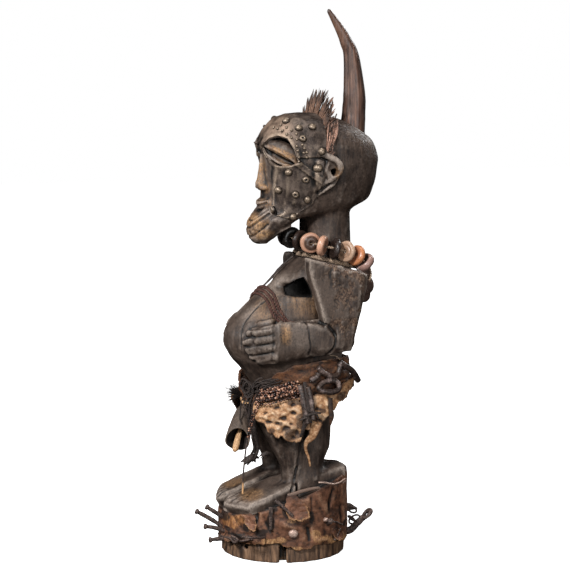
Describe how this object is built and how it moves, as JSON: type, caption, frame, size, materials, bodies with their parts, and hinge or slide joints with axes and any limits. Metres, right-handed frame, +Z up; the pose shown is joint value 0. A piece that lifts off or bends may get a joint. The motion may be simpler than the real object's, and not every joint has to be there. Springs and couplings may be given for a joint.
{
  "type": "songye power figure",
  "caption": "Carved wooden power figure on a round plinth, with horn, face metal, feathers, seed necklace, hides, bell and nails; stands by its own weight.",
  "frame": {"origin": "middle of the plinth's underside", "axes": "+Z up along the standing figure, -Y the way the face looks, +X the figure's left"},
  "size_m": [0.2009, 0.2828, 0.8025],
  "materials": {
    "carved_wood": "dark oiled wood with worn highlights",
    "horn": "striped antelope horn",
    "face_metal": "beaten, tarnished sheet metal",
    "feathers": "stiff brown feathers",
    "dark_cord": "dark twisted fibre",
    "pale_cord": "pale twisted fibre",
    "dark_leather": "dark dried leather",
    "raw_hide": "stiff pale raw hide",
    "bell_wood": "greyed wood",
    "clapper_wood": "pale wood",
    "hair": "black bristle",
    "wrap_leather": "reddish brown creased leather",
    "seeds": "polished flat seeds",
    "links": "worn tubular links",
    "beads": "dull glass beads",
    "iron": "rusted forged iron"
  },
  "bodies": {
    "root": {"carved_figure": "carved_wood", "horn": "horn", "face_sheet": "face_metal", "breast_rope": "dark_cord", "feather_crest": "feathers", "necklace_cord": "dark_cord", "seed_01": "seeds", "seed_02": "seeds", "seed_03": "seeds", "seed_04": "seeds", "seed_05": "seeds", "seed_06": "seeds", "seed_07": "seeds", "seed_08": "seeds", "seed_09": "seeds", "seed_10": "seeds", "seed_11": "seeds", "collar_cord": "pale_cord", "chest_strap": "dark_leather", "hip_leather": "dark_leather", "raw_hide": "raw_hide", "link_tube_upper": "links", "link_tube_back": "links", "link_tube_hanging_front": "links", "link_tube_hanging_back": "links", "link_ring_lower": "links", "link_ring_upper": "links", "bead_strand_1": "beads", "bead_strand_2": "beads", "bead_strand_3": "beads", "bead_string": "beads", "bell": "bell_wood", "bell_clapper": "clapper_wood", "bell_cord": "dark_cord", "hanging_thong": "pale_cord", "hair_tuft": "hair", "waist_loop": "dark_cord", "pale_bar": "clapper_wood", "black_strip": "dark_leather", "leather_strip": "dark_leather", "base_wrap": "wrap_leather", "edge_bar": "iron", "wrap_strip": "iron", "nail_front_upper": "iron", "nail_front_middle": "iron", "nail_front_lower": "iron", "nail_front_stub": "iron", "nail_left": "iron", "iron_blade": "iron", "iron_hasp": "iron", "wire_loop": "iron", "round_tack": "iron"}
  },
  "joints": []
}
